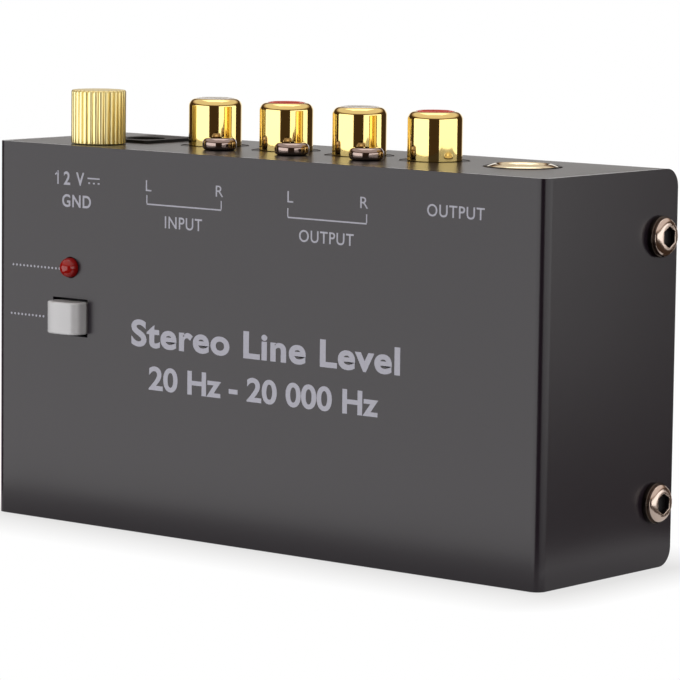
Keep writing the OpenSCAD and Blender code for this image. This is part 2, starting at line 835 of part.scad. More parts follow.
module led_leads() {
    color([0.8, 0.8, 0.8]) for (p = pair([power_x, led_z], led_lead_gap))
        bar_y(p[0], p[1], led_flange_y + led_flange_t, board_back + pin_out, led_lead_d / 2);
}

module led_spacer() {
    color([0.9, 0.9, 0.87]) difference() {
        bar_y(power_x, led_z, led_flange_y + led_flange_t, board_y, spacer_d / 2);
        bar_y(power_x, led_z, led_flange_y, board_y + overcut, spacer_bore / 2);
    }
}

// ---- button and switch ----

// Key cap: its face is crowned about an upright axis and its upright edges are eased
module button_cap() {
    crown_r = (pow(button_w / 2, 2) + pow(button_crown, 2)) / (2 * button_crown);
    color([0.8, 0.8, 0.81]) difference() {
        translate([power_x, 0, button_z - button_h / 2]) linear_extrude(button_h) intersection() {
            translate([-button_w / 2, button_face - button_crown])
                square([button_w, button_l + button_crown]);
            union() {
                translate([0, button_face - button_crown + crown_r]) circle(crown_r, $fn = 128);
                translate([-button_w, button_face + button_crown]) square([2 * button_w, button_l]);
            }
        }
        block_y(power_x, button_z, plunger_front - fit, button_end + overcut,
            plunger_w + 2 * fit, plunger_w + 2 * fit);
    }
}

module switch_plunger() {
    color([0.9, 0.9, 0.88]) block_y(power_x, button_z, plunger_front, plunger_end, plunger_w, plunger_w);
}

module switch_body() {
    well = plunger_w + 2 * plunger_play;
    color([0.1, 0.1, 0.1]) difference() {
        block_y(power_x, button_z, switch_face, board_y, switch_w, switch_w);
        block_y(power_x, button_z, switch_face - overcut, spring_end, well, well);
        for (p = switch_legs()) bar_y(p[0], p[1], board_y - 2, board_y + overcut, pin_r + fit);
    }
}

// Coil spring behind the plunger: a six-sided wire wound round the plunger's axis
module switch_spring() {
    rest_l = spring_end - plunger_end - spring_wire;
    rings = spring_turns * 10;
    sides = 6;
    r = spring_d / 2;
    function ring_point(i, j) = let (
        turn = 360 * spring_turns * i / rings,
        reach = r + spring_wire / 2 * cos(360 * j / sides)
    ) [
        reach * cos(turn),
        spring_wire / 2 + rest_l * i / rings + spring_wire / 2 * sin(360 * j / sides),
        reach * sin(turn)
    ];
    points = [for (i = [0:rings], j = [0:sides - 1]) ring_point(i, j)];
    walls = [
        for (i = [0:rings - 1], j = [0:sides - 1], half = [0, 1])
            let (a = i * sides + j, b = i * sides + (j + 1) % sides)
            half == 0 ? [a, b, b + sides] : [a, b + sides, a + sides]
    ];
    first_cap = [for (j = [1:sides - 2]) [0, j + 1, j]];
    last = rings * sides;
    last_cap = [for (j = [1:sides - 2]) [last, last + j, last + j + 1]];
    color([0.8, 0.8, 0.82]) translate([power_x, plunger_end, button_z])
        polyhedron(points, concat(walls, first_cap, last_cap));
}

module switch_pins() {
    color([0.8, 0.8, 0.78]) for (p = switch_legs())
        bar_y(p[0], p[1], board_y - 2, board_back + pin_out, pin_r);
}

// ---- circuit board and what is on it ----

module pin_holes(places, r) {
    for (p = places) bar_y(p[0], p[1], board_y - overcut, board_back + overcut, r);
}

module board() {
    color([0.1, 0.35, 0.15]) difference() {
        translate([-board_w / 2, board_y, board_z0]) cube([board_w, board_t, board_z1 - board_z0]);
        pin_holes([for (side = [-1, 1]) [side * pillar_x, pillar_z]], board_screw_d / 2 + 0.1);
        pin_holes([for (x = rca_x) [x, top - tail_below + tail_w / 2]], tail_w * 0.75);
        pin_holes([for (x = rca_x) [x, top - barrel_below + tab_t / 2]], tab_w / 2 + 0.1);
        pin_holes([for (z = dc_blades()) [power_x, z]], dc_blade_w / 2 + 0.1);
        pin_holes([for (p = phone_legs()) p + [(p[0] > phone_x ? 1 : -1) * spring_t / 2, 0.4]], 0.6);
        pin_holes([[lug_hole_x, nut_top - wire_drop - wire_bend_r]], wire_d / 2 + fit);
        pin_holes(pair([power_x, led_z], led_lead_gap), pin_hole_r);
        pin_holes(switch_legs(), pin_hole_r);
        for (at = chips) pin_holes(chip_legs(at), pin_hole_r + 0.05);
        for (at = small_caps) pin_holes(pair(at, small_cap_leads), pin_hole_r);
        pin_holes(pair(big_cap, big_cap_leads), pin_hole_r);
        for (at = films) pin_holes(pair(at, film_leads), pin_hole_r);
        for (at = ohms) pin_holes(pair(at, resistor_span), pin_hole_r);
        pin_holes(concat([regulator_at], pair(regulator_at, regulator_leads)), pin_hole_r);
    }
}

// Pillars from the back plate to the lower corners of the board
module board_pillars() {
    color([0.75, 0.75, 0.72]) for (side = [-1, 1]) difference() {
        bar_y(side * pillar_x, pillar_z, board_back, back_inside, pillar_d / 2);
        bar_y(side * pillar_x, pillar_z, board_back - overcut, back_inside - 0.8,
            board_screw_d / 2 + fit);
    }
}

module board_screws() {
    color([0.75, 0.75, 0.72]) for (side = [-1, 1]) difference() {
        union() {
            bar_y(side * pillar_x, pillar_z, board_y - board_head_h, board_y, board_head_d / 2);
            bar_y(side * pillar_x, pillar_z, board_y - 0.2, back_inside - 1, board_screw_d / 2);
        }
        for (turn = [0, 90]) translate([side * pillar_x, board_y - board_head_h, pillar_z])
            rotate([0, turn, 0]) cube([3.2, 2, 0.6], center = true);
    }
}

// Two eight-legged amplifier chips
module amplifier_chips() {
    face = board_y - chip_lift - chip_size[1];
    shoulder = face + chip_shoulder;
    color([0.12, 0.12, 0.12]) for (at = chips) {
        difference() {
            block_y(at[0], at[1], face, board_y - chip_lift, chip_size[0], chip_size[2]);
            bar_y(at[0] - chip_size[0] / 2, at[1], face - overcut, face + chip_notch_h, chip_notch_r);
        }
        for (p = chip_legs(at)) {
            block_y(p[0], p[1], shoulder, board_back + pin_out, leg_w, leg_w);
            block_y(p[0], (p[1] + at[1]) / 2, shoulder, shoulder + leg_w, leg_w, chip_row / 2);
        }
    }
}

// Aluminium can with a pressed groove near the board and two leads
module can_capacitor(at, d, h, gap) {
    r = d / 2;
    color([0.12, 0.15, 0.3]) {
        translate([at[0], board_y, at[1]]) rotate([90, 0, 0]) rotate_extrude() polygon([
            [0, 0], [r, 0], [r, can_base], [r - can_groove, can_base + can_groove_h],
            [r, can_base + 2 * can_groove_h], [r, h - can_groove], [r - can_groove, h], [0, h]
        ]);
        for (p = pair(at, gap)) bar_y(p[0], p[1], board_y - lead_root, board_back + pin_out, pin_r);
    }
}

module electrolytic_capacitors() {
    for (at = small_caps) can_capacitor(at, small_cap_d, small_cap_h, small_cap_leads);
}

module reservoir_capacitor() {
    can_capacitor(big_cap, big_cap_d, big_cap_h, big_cap_leads);
}

module film_capacitors() {
    color([0.75, 0.2, 0.15]) for (at = films) {
        block_y(at[0], at[1], board_y - film_size[1], board_y, film_size[0], film_size[2]);
        for (p = pair(at, film_leads))
            bar_y(p[0], p[1], board_y - lead_root, board_back + pin_out, pin_r);
    }
}

// Resistor lying on the board, thicker at its two ends, with both leads bent into the board
module resistors() {
    r = resistor_d / 2;
    waist = r * resistor_waist;
    half = resistor_l / 2;
    color([0.35, 0.55, 0.7]) for (at = ohms) translate([at[0], board_y - r, at[1]]) {
        rotate([0, 90, 0]) translate([0, 0, -half]) rotate_extrude() polygon([
            [0, 0], [r, 0], [r, resistor_end], [waist, resistor_end + resistor_neck],
            [waist, resistor_l - resistor_end - resistor_neck], [r, resistor_l - resistor_end],
            [r, resistor_l], [0, resistor_l]
        ]);
        rotate([0, 90, 0]) cylinder(h = resistor_span, r = lead_d / 2, center = true);
        for (side = [-1, 1]) translate([side * resistor_span / 2, 0, 0]) {
            sphere(lead_d / 2);
            rotate([-90, 0, 0]) cylinder(h = r + board_t + pin_out, r = lead_d / 2);
        }
    }
}

// Three-legged regulator with a flat on one side
module regulator() {
    foot = board_y - regulator_lift;
    color([0.12, 0.12, 0.12]) {
        intersection() {
            bar_y(regulator_at[0], regulator_at[1], foot - regulator_h, foot, regulator_d / 2);
            block_y(regulator_at[0], regulator_at[1] + (regulator_d - regulator_flat) / 2,
                foot - 2 * regulator_h, board_y, 2 * regulator_d, regulator_d + regulator_flat);
        }
        for (p = concat([regulator_at], pair(regulator_at, regulator_leads)))
            bar_y(p[0], p[1], foot - leg_w, board_back + pin_out, regulator_lead_r);
    }
}

cover();
chassis();
side_screws();
side_washers();
panel_screws();
ground_knob();
ground_washer();
ground_stud();
ground_lug();
ground_nut();
ground_wire();
rca_block();
rca_shell(rca_x[0]);  // rca_shell_1
rca_shell(rca_x[1]);  // rca_shell_2
rca_shell(rca_x[2]);  // rca_shell_3
rca_shell(rca_x[3]);  // rca_shell_4
rca_insulator(rca_x[0], "white");  // rca_insulator_1
rca_insulator(rca_x[1], "red");  // rca_insulator_2
rca_insulator(rca_x[2], "white");  // rca_insulator_3
rca_insulator(rca_x[3], "red");  // rca_insulator_4
rca_contact(rca_x[0]);  // rca_contact_1
rca_contact(rca_x[1]);  // rca_contact_2
rca_contact(rca_x[2]);  // rca_contact_3
rca_contact(rca_x[3]);  // rca_contact_4
phone_body();
phone_ferrule();
phone_tip_spring();
phone_ring_spring();
dc_body();
dc_pin();
dc_terminals();
led_lens();
led_leads();
led_spacer();
button_cap();
switch_plunger();
switch_body();
switch_spring();
switch_pins();
board();
board_pillars();
board_screws();
amplifier_chips();
electrolytic_capacitors();
reservoir_capacitor();
film_capacitors();
resistors();
regulator();
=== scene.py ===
import bpy
import bmesh
import math
from mathutils import Matrix, Vector


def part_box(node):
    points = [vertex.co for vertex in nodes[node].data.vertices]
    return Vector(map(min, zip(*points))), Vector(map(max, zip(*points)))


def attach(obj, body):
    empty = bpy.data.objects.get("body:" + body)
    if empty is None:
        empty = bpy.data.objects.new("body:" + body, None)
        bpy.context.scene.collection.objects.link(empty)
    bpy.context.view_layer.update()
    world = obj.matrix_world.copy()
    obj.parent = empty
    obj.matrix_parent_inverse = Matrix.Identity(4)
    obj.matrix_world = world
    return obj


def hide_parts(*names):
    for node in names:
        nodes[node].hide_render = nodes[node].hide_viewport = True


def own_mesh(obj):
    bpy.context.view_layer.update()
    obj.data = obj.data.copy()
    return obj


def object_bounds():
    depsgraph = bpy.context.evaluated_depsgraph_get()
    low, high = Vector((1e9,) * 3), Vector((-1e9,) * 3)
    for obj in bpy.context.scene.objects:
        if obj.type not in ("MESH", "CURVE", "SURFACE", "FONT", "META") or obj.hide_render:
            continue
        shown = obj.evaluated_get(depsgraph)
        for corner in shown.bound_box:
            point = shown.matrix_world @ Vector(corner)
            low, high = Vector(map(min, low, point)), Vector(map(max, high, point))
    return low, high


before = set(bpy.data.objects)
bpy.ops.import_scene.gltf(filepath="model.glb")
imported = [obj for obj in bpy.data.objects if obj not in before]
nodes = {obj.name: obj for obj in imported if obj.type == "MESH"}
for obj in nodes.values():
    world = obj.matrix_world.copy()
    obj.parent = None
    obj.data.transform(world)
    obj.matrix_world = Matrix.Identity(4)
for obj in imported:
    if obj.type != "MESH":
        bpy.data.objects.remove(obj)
cad_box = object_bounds()

# Outlines and printing are written in mm, boxes and places in metres.
MM = 0.001

# ---- Camera ----
# A long lens about 60 cm off, a little above the socket panel and turned to the right end,
# as a small product is photographed on a table.
VIEW_TURN, VIEW_RISE, VIEW_ROLL = math.radians(39.25), math.radians(6.64), math.radians(0.705)
VIEW_FAR, VIEW_AT = 0.6063, Vector((0.00318, 0.0, 0.03098))
SENSOR, FOCAL_PIXELS, PICTURE_PIXELS = 36.0, 3945.0, 680.0
ahead = Vector((-math.sin(VIEW_TURN) * math.cos(VIEW_RISE),
                math.cos(VIEW_TURN) * math.cos(VIEW_RISE), -math.sin(VIEW_RISE)))
level_right = ahead.cross(Vector((0, 0, 1))).normalized()
level_up = level_right.cross(ahead)
cam_right = math.cos(VIEW_ROLL) * level_right + math.sin(VIEW_ROLL) * level_up
cam_up = -math.sin(VIEW_ROLL) * level_right + math.cos(VIEW_ROLL) * level_up
lens = bpy.data.cameras.new("camera")
lens.sensor_width = SENSOR
lens.lens = SENSOR * FOCAL_PIXELS / PICTURE_PIXELS
lens.clip_start, lens.clip_end = 0.01, 50.0
camera = bpy.data.objects.new("camera", lens)
camera.matrix_world = Matrix.Translation(VIEW_AT - ahead * VIEW_FAR) @ Matrix(
    (cam_right, cam_up, -ahead)).transposed().to_4x4()
bpy.context.scene.collection.objects.link(camera)
bpy.context.scene.camera = camera
bpy.context.scene.view_settings.view_transform = "Standard"


# ---- Shader helpers ----
def feed(tree, slot_in, value):
    """Links an input to a wire, or sets it to a plain value."""
    if isinstance(value, Wire):
        tree.links.new(value.socket, slot_in)
    else:
        slot_in.default_value = value


def maths(tree, kind, *values, **settings):
    """A Math node on wires and plain values."""
    node = tree.nodes.new("ShaderNodeMath")
    node.operation = kind
    for key, value in settings.items():
        setattr(node, key, value)
    for slot_in, value in zip(node.inputs, values):
        feed(tree, slot_in, value)
    return Wire(tree, node.outputs[0])


def operator(kind):
    """An operator of wires and its reflected form."""
    return (lambda wire, other: maths(wire.tree, kind, wire, other),
            lambda wire, other: maths(wire.tree, kind, other, wire))


class Wire:
    """A socket of a node tree, so that shader maths reads as a formula."""

    __add__, __radd__ = operator("ADD")
    __sub__, __rsub__ = operator("SUBTRACT")
    __mul__, __rmul__ = operator("MULTIPLY")
    __truediv__, __rtruediv__ = operator("DIVIDE")

    def __init__(self, tree, socket):
        self.tree, self.socket = tree, socket

    def math(self, kind, *others, **settings):
        return maths(self.tree, kind, self, *others, **settings)

    def held(self):
        """The value kept between 0 and 1."""
        return self.math("ADD", 0.0, use_clamp=True)


class Tree:
    """Adds nodes to the tree of a material or of the world."""

    def __init__(self, tree):
        self.tree = tree

    def node(self, kind, settings=None, out=0, **sockets):
        """A new node's output. Inputs go by name, or by an underscore and their number."""
        made = self.tree.nodes.new("ShaderNode" + kind)
        for key, value in (settings or {}).items():
            setattr(made, key, value)
        for key, value in sockets.items():
            slot_in = made.inputs[int(key[1:])] if key[0] == "_" else made.inputs[key.replace("_", " ")]
            feed(self.tree, slot_in, value)
        return Wire(self.tree, made.outputs[out])

    def output(self, kind, *names):
        """Named outputs of one new node."""
        outputs = self.node(kind).socket.node.outputs
        return [Wire(self.tree, outputs[name]) for name in names]

    def split(self, vector):
        maker = self.node("SeparateXYZ", Vector=vector).socket.node
        return [Wire(self.tree, maker.outputs[i]) for i in range(3)]

    def mix(self, factor, low, high):
        return self.node("Mix", {"data_type": "RGBA"}, out=2, _0=factor, _6=low, _7=high)


class Finish(Tree):
    """One surface finish: a material with its shader."""

    def __init__(self, name, **fixed):
        self.material = bpy.data.materials.new(name)
        self.material.use_nodes = True
        super().__init__(self.material.node_tree)
        self.shader = self.tree.nodes["Principled BSDF"]
        for key, value in fixed.items():
            self.shader.inputs[key.replace("_", " ")].default_value = value

    def place(self):
        """Coordinates of the object that carries the finish."""
        return self.output("TexCoord", "Object")[0]

    def grain(self, scale, detail=2.0):
        return self.node("TexNoise", Vector=self.place(), Scale=scale, Detail=detail)

    def tinted(self, factor, tone, low, high):
        """A colour that drifts between two shares of one tone."""
        ends = [(*[min(1.0, c * share) for c in tone], 1.0) for share in (low, high)]
        return self.mix(factor, *ends)

    def bump(self, height, depth, strength):
        return self.node("Bump", Strength=strength, Distance=depth, Height=height)

    def set(self, **links):
        for key, value in links.items():
            self.tree.links.new(value.socket, self.shader.inputs[key.replace("_", " ")])
        return self.material


def powder_coat(name, tone, gloss, shine):
    """Near-black powder coat: a faint orange peel, specks of pigment and a satin sheen."""
    coat = Finish(name, Specular_IOR_Level=shine)
    peel = coat.grain(1100.0)
    speck = coat.grain(5200.0, 1.0)
    cloud = coat.grain(42.0, 3.0)
    shade = (cloud - 0.5) * 0.10 + (speck - 0.5) * 0.3 + 0.5
    return coat.set(Base_Color=coat.tinted(shade, tone, 0.8, 1.2),
                    Roughness=(speck - 0.5) * 0.08 + (cloud - 0.5) * 0.05 + gloss,
                    Normal=coat.bump(peel * 0.7 + speck * 0.3, 0.00001, 0.3))


def plated(name, tone, dull, grain_depth=0.0):
    """Bright plating: metal with a faint drift of tone and of polish."""
    metal = Finish(name, Metallic=1.0)
    drift = metal.grain(180.0)
    fine = metal.grain(2400.0)
    metal.set(Base_Color=metal.tinted(drift, tone, 0.93, 1.05),
              Roughness=(fine - 0.5) * 0.05 + (drift - 0.5) * 0.04 + dull)
    if grain_depth:
        metal.set(Normal=metal.bump(fine, grain_depth, 0.4))
    return metal.material


def moulded(name, tone, dull, depth=0.00001, **fixed):
    """Injection moulded plastic: a fine spark texture and a slight drift of tone."""
    skin = Finish(name, **fixed)
    spark = skin.grain(1500.0, 3.0)
    drift = skin.grain(120.0)
    return skin.set(Base_Color=skin.tinted(drift, tone, 0.92, 1.06),
                    Roughness=(spark - 0.5) * 0.12 + dull, Normal=skin.bump(spark, depth, 0.4))


# ---- Shape helpers ----
def middle(node):
    low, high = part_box(node)
    return (Vector(low) + Vector(high)) / 2


def softened_copy(node, width, angle=40.0, steps=2):
    """A CAD node's shape with its flat faces made whole and its sharp edges broken."""
    mesh = bmesh.new()
    mesh.from_mesh(nodes[node].data)
    bmesh.ops.remove_doubles(mesh, verts=mesh.verts, dist=1e-6)
    bmesh.ops.dissolve_limit(mesh, angle_limit=math.radians(0.4), verts=mesh.verts, edges=mesh.edges)
    sharp = [e for e in mesh.edges
             if len(e.link_faces) == 2 and e.calc_face_angle(0.0) > math.radians(angle)]
    if width:
        bmesh.ops.bevel(mesh, geom=sharp, affect="EDGES", offset=width, segments=steps, profile=0.5,
                        material=-1, clamp_overlap=True)
    return mesh


def arc(r, z, size, first, last, steps=8):
    """Points of a round stretch of an outline: 0 degrees is straight out, 90 straight up."""
    turns = [math.radians(first + (last - first) * k / steps) for k in range(steps + 1)]
    return [(r + size * math.cos(a), z + size * math.sin(a)) for a in turns]


def turned(outline, at, steps=96, shape=None, to_front=False):
    """Revolves an outline of (radius, height) round an upright axis, or one that points forward.

    shape gives the factor on the radius, from a radius and an angle."""
    mesh = bmesh.new()
    line = [mesh.verts.new((r * MM, 0, z * MM)) for r, z in outline]
    edges = [mesh.edges.new(pair) for pair in zip(line, line[1:])]
    bmesh.ops.spin(mesh, geom=line + edges, cent=(0, 0, 0), axis=(0, 0, 1), angle=math.tau, steps=steps,
                   use_merge=True)
    bmesh.ops.remove_doubles(mesh, verts=mesh.verts, dist=1e-7)
    if shape:
        for v in mesh.verts:
            r = math.hypot(v.co.x, v.co.y)
            k = shape(r * 1000, math.atan2(v.co.y, v.co.x)) if r > 1e-9 else 1.0
            v.co.x, v.co.y = v.co.x * k, v.co.y * k
    turn = Matrix.Rotation(math.radians(90), 4, "X") if to_front else Matrix.Identity(4)
    bmesh.ops.transform(mesh, matrix=Matrix.Translation(at) @ turn, verts=mesh.verts)
    return mesh


def as_mesh(made):
    """An object's shape with its modifiers applied, as a mesh to work on."""
    flat = bpy.data.meshes.new_from_object(made.evaluated_get(bpy.context.evaluated_depsgraph_get()))
    mesh = bmesh.new()
    mesh.from_mesh(flat)
    bpy.data.meshes.remove(flat)
    return mesh


def joined(meshes):
    """Several meshes as one."""
    whole = bmesh.new()
    for mesh in meshes:
        part = bpy.data.meshes.new("part")
        mesh.to_mesh(part)
        mesh.free()
        whole.from_mesh(part)
        bpy.data.meshes.remove(part)
    return whole


def carved(mesh, tool):
    """A mesh with another one cut out of it."""
    pair = []
    for shape in (mesh, tool):
        data = bpy.data.meshes.new("carving")
        shape.to_mesh(data)
        shape.free()
        pair.append(bpy.data.objects.new("carving", data))
        bpy.context.scene.collection.objects.link(pair[-1])
    cut = pair[0].modifiers.new("cut", "BOOLEAN")
    cut.object, cut.solver, cut.use_self = pair[1], "EXACT", True
    bpy.context.view_layer.update()
    result = as_mesh(pair[0])
    for shape in pair:
        bpy.data.objects.remove(shape)
    return result


def piece(name, mesh, material, body, stands_for=(), smooth=35.0, clean=True):
    """Makes the object of a finished mesh, shaded by angle, riding on its body."""
    if clean:
        bmesh.ops.recalc_face_normals(mesh, faces=mesh.faces)
    data = bpy.data.meshes.new(name)
    mesh.to_mesh(data)
    mesh.free()
    data.polygons.foreach_set("use_smooth", [True] * len(data.polygons))
    data.set_sharp_from_angle(angle=math.radians(smooth))
    made = bpy.data.objects.new(name, data)
    data.materials.append(material)
    bpy.context.scene.collection.objects.link(made)
    if clean:
        evened = made.modifiers.new("even normals", "WEIGHTED_NORMAL")
        evened.keep_sharp, evened.weight = True, 80
    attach(made, body)
    if stands_for:
        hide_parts(*stands_for)
    return made


# ---- Finishes ----
# Each is named after its material, except the painted shade inside the end screws' recesses.
# The tones of the metals are matched to the photograph, where nickel and steel look brownish.
cover_coat = powder_coat("cover powder coat", (0.0112, 0.0072, 0.0128), 0.24, 0.5)
chassis_coat = powder_coat("chassis powder coat", (0.014, 0.0125, 0.0115), 0.30, 0.36)
gold_satin = plated("satin gold plate", (1.0, 0.84, 0.40), 0.34, grain_depth=0.00001)
gold_bright = plated("bright gold plate", (0.95, 0.735, 0.28), 0.06)
pale_gold = plated("pale gold plate", (0.83, 0.72, 0.48), 0.1)
bright_nickel = plated("nickel", (0.70, 0.57, 0.49), 0.2)
dark_nickel = plated("dark nickel", (0.37, 0.285, 0.255), 0.1)
dull_steel = plated("spring steel", (0.085, 0.068, 0.058), 0.2)
tin = plated("tin plate", (0.62, 0.62, 0.6), 0.34)
white_ring = moulded("white insulator", (0.78, 0.78, 0.75), 0.3)
red_ring = moulded("red insulator", (0.66, 0.055, 0.028), 0.3)
black_gloss = moulded("black gloss moulding", (0.006, 0.006, 0.006), 0.4, Specular_IOR_Level=0.2)
black_satin = moulded("black satin moulding", (0.012, 0.012, 0.012), 0.5, Specular_IOR_Level=0.22)
natural = moulded("natural nylon", (0.72, 0.71, 0.66), 0.5)
key_grey = moulded("grey key plastic", (0.63, 0.645, 0.67), 0.2)
lens_red = moulded("red lens", (0.5, 0.010, 0.008), 0.05, depth=0.0000005, Transmission_Weight=0.35,
                   IOR=1.54)
# painted shade: a near-black finish laid inside the end screws' hexagon recesses, where shade falls
recess_shade = moulded("painted recess shade", (0.010, 0.009, 0.009), 0.5, Metallic=0.5)
board_mask = moulded("green solder mask", (0.02, 0.14, 0.05), 0.25)
sleeve = moulded("blue capacitor sleeve", (0.02, 0.04, 0.15), 0.35)
film_box = moulded("red film capacitor", (0.45, 0.05, 0.03), 0.3)
lacquer = moulded("blue resistor lacquer", (0.13, 0.32, 0.46), 0.35)
wire_skin = moulded("wire cover", (0.015, 0.015, 0.015), 0.4)
ink = Finish("screen ink", Specular_IOR_Level=0.4)
ink_wear = ink.grain(2600.0)
ink_grey = ink.set(Base_Color=ink.mix(ink_wear, (0.40, 0.41, 0.48, 1.0), (0.50, 0.51, 0.60, 1.0)),
                   Roughness=ink_wear * 0.2 + 0.4)

# ---- Pieces that keep their CAD solids ----
# The washer and hidden parts of the ground terminal, the contacts and leads of the sockets
# and the lamp, the key's switch, and the board with what is on it.
for finish, kept in (
        (gold_bright, ["ground_washer"] + ["rca_contact_%d" % i for i in range(1, 5)]),
        (tin, ["ground_lug", "ground_nut", "phone_tip_spring", "phone_ring_spring", "dc_terminals",
               "led_leads", "switch_pins", "board_pillars", "board_screws"]),
        (bright_nickel, ["dc_pin"]), (natural, ["led_spacer", "switch_plunger"]),
        (black_satin, ["switch_body", "amplifier_chips", "regulator"]), (wire_skin, ["ground_wire"]),
        (board_mask, ["board"]), (sleeve, ["electrolytic_capacitors", "reservoir_capacitor"]),
        (film_box, ["film_capacitors"]), (lacquer, ["resistors"])):
    for node in kept:
        for slot_in in nodes[node].material_slots:
            slot_in.material = finish

# ---- Case: the folded steel cover and chassis ----
# Both are 1.2 mm sheet steel, punched and folded, then powder coated in charcoal. The cover
# has tight folds and the chassis wide ones; their cut edges are broken slightly by the coat.
piece("steel_cover", softened_copy("cover", 0.00008, steps=3), cover_coat, "case",
      ["cover"])
piece("steel_chassis", softened_copy("chassis", 0.00012, steps=3), chassis_coat, "case",
      ["chassis"])
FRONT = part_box("cover")[0][1]
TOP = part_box("chassis")[1][2]

# ---- Printing on the front face ----
# Light grey screen ink: marks of voltage, ground, channels and direction, a bracket under
# each pair of channels, dots that lead to the lamp and the button, and two plain lines.
INK_LIFT = 0.00002
CAPITALS = 0.729  # height of the built-in face's capitals at size 1
RULE, BRACKET_LEG = 0.11, 1.4
DOT_R, DOT_PITCH = 0.19, 0.76


def ink_piece(name, mesh):
    """Stands flat printing, drawn in mm, up on the front face."""
    upright = Matrix.Translation((0, FRONT - INK_LIFT, 0)) @ Matrix.Rotation(math.radians(90), 4, "X")
    bmesh.ops.transform(mesh, matrix=upright @ Matrix.Scale(MM, 4), verts=mesh.verts)
    return piece(name, mesh, ink_grey, "case", clean=False)


def words(name, text, left, base, height, width, weight=0.0, gap=1.0):
    """Lettering from a left edge and base line, fitted to a height and width in mm."""
    curve = bpy.data.curves.new(name, "FONT")
    curve.body = text
    curve.offset = weight
    curve.space_character = gap
    curve.resolution_u = 6
    holder = bpy.data.objects.new(name, curve)
    bpy.context.scene.collection.objects.link(holder)
    bpy.context.view_layer.update()
    mesh = as_mesh(holder)
    bpy.data.objects.remove(holder)
    xs = [v.co.x for v in mesh.verts]
    fit = Matrix.Translation((left, base, 0)) @ Matrix.Diagonal(
        (width / (max(xs) - min(xs)), height / CAPITALS, 1, 1)) @ Matrix.Translation((-min(xs), 0, 0))
    bmesh.ops.transform(mesh, matrix=fit, verts=mesh.verts)
    return ink_piece(name, mesh)


def bar(mesh, at, size, turn=0.0):
    """A printed rectangle by its centre and size in mm, turned by degrees."""
    made = bmesh.ops.create_grid(mesh, x_segments=1, y_segments=1, size=0.5)["verts"]
    bmesh.ops.transform(mesh, verts=made, matrix=Matrix.Translation((*at, 0)) @ Matrix.Rotation(
        math.radians(turn), 4, "Z") @ Matrix.Diagonal((*size, 1, 1)))


def stroke(mesh, x0, z0, x1, z1):
    """A printed rule: a rectangle between two corners, in mm."""
    bar(mesh, ((x0 + x1) / 2, (z0 + z1) / 2), (x1 - x0, z1 - z0))


words("print_two", "2", -39.6, 53.35, 2.1, 1.4, 0.02)
words("print_volts", "V", -36.95, 53.35, 2.1, 1.75, 0.02)
words("print_ground", "GND", -39.9, 49.9, 1.98, 6.15, 0.02, 1.1)
words("print_input", "INPUT", -18.3, 47.85, 1.9, 7.6, 0.008, 1.1)
words("print_output", "OUTPUT", 8.55, 47.6, 1.85, 10.5, 0.008, 1.1)
words("print_output_phone", "OUTPUT", 32.7, 52.95, 1.85, 10.5, 0.008, 1.1)
for name, mark, x, width in (("print_l_1", "L", -22.27, 1.15), ("print_r_1", "R", -8.0, 1.5),
                             ("print_l_2", "L", 6.2, 1.15), ("print_r_2", "R", 20.2, 1.5)):
    words(name, mark, x, 53.3, 1.8, width)
words("print_line_1", "Stereo Line Level", -25.1, 29.3, 4.08, 53.2, 0.03, 1.06)
words("print_line_2", "20 Hz - 20 000 Hz", -21.4, 22.7, 3.65, 45.5, 0.026, 1.0)

signs = bmesh.new()
# the sign for direct current: a line over three dashes
stroke(signs, -34.5, 54.45, -31.94, 54.67)
for i in range(3):
    stroke(signs, -34.35 + i * 1.0, 53.7, -33.95 + i * 1.0, 53.94)
# a plain figure one before the two: a stem and its flag
stroke(signs, -40.97, 53.35, -40.66, 55.45)
bar(signs, (-41.12, 55.03), (0.72, 0.26), 38)
# brackets under the pairs of channels, from a left to a right leg
for x0, x1, z in ((-22.04, -6.88, 51.3), (6.31, 21.45, 51.05)):
    stroke(signs, x0, z - RULE, x1, z + RULE)
    for x in (x0, x1):
        stroke(signs, x - RULE, z + RULE, x + RULE, z + BRACKET_LEG)
# rows of dots, to the lamp and to the button
for first, last, z in ((-50.43, -40.43, 40.0), (-50.82, -43.84, 32.2)):
    count = round((last - first) / DOT_PITCH)
    for i in range(count + 1):
        dot = bmesh.ops.create_circle(signs, cap_ends=True, segments=12, radius=DOT_R)["verts"]
        bmesh.ops.translate(signs, verts=dot, vec=(first + (last - first) * i / count, z, 0))
ink_piece("print_signs", signs)

# ---- Ground terminal ----
# Turned brass, gold plated: a thumb nut with coarse straight ribs and rounded rims, and its
# washer, on an M4 stud. Under the panel the stud has a flange, a solder tag, a nut and a lead.
RIBS, RIB_DEEP, RIB_ZONE = 30, 0.27, 0.36
knob_low, knob_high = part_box("ground_knob")
knob_at = Vector((*middle("ground_knob").xy, knob_low[2]))
knob_r = (knob_high[0] - knob_low[0]) * 500
knob_tall = (knob_high[2] - knob_low[2]) * 1000


def ribbed(r, angle):
    """Draws the wall in between the round-topped ribs, and leaves the two end faces flat."""
    if r < knob_r - RIB_ZONE:
        return 1.0
    turn = (angle * RIBS / math.tau) % 1.0
    near = 1.0 - abs(turn - round(turn)) / 0.5
    return 1.0 - RIB_DEEP / knob_r * (1.0 - math.sqrt(1.0 - near * near))


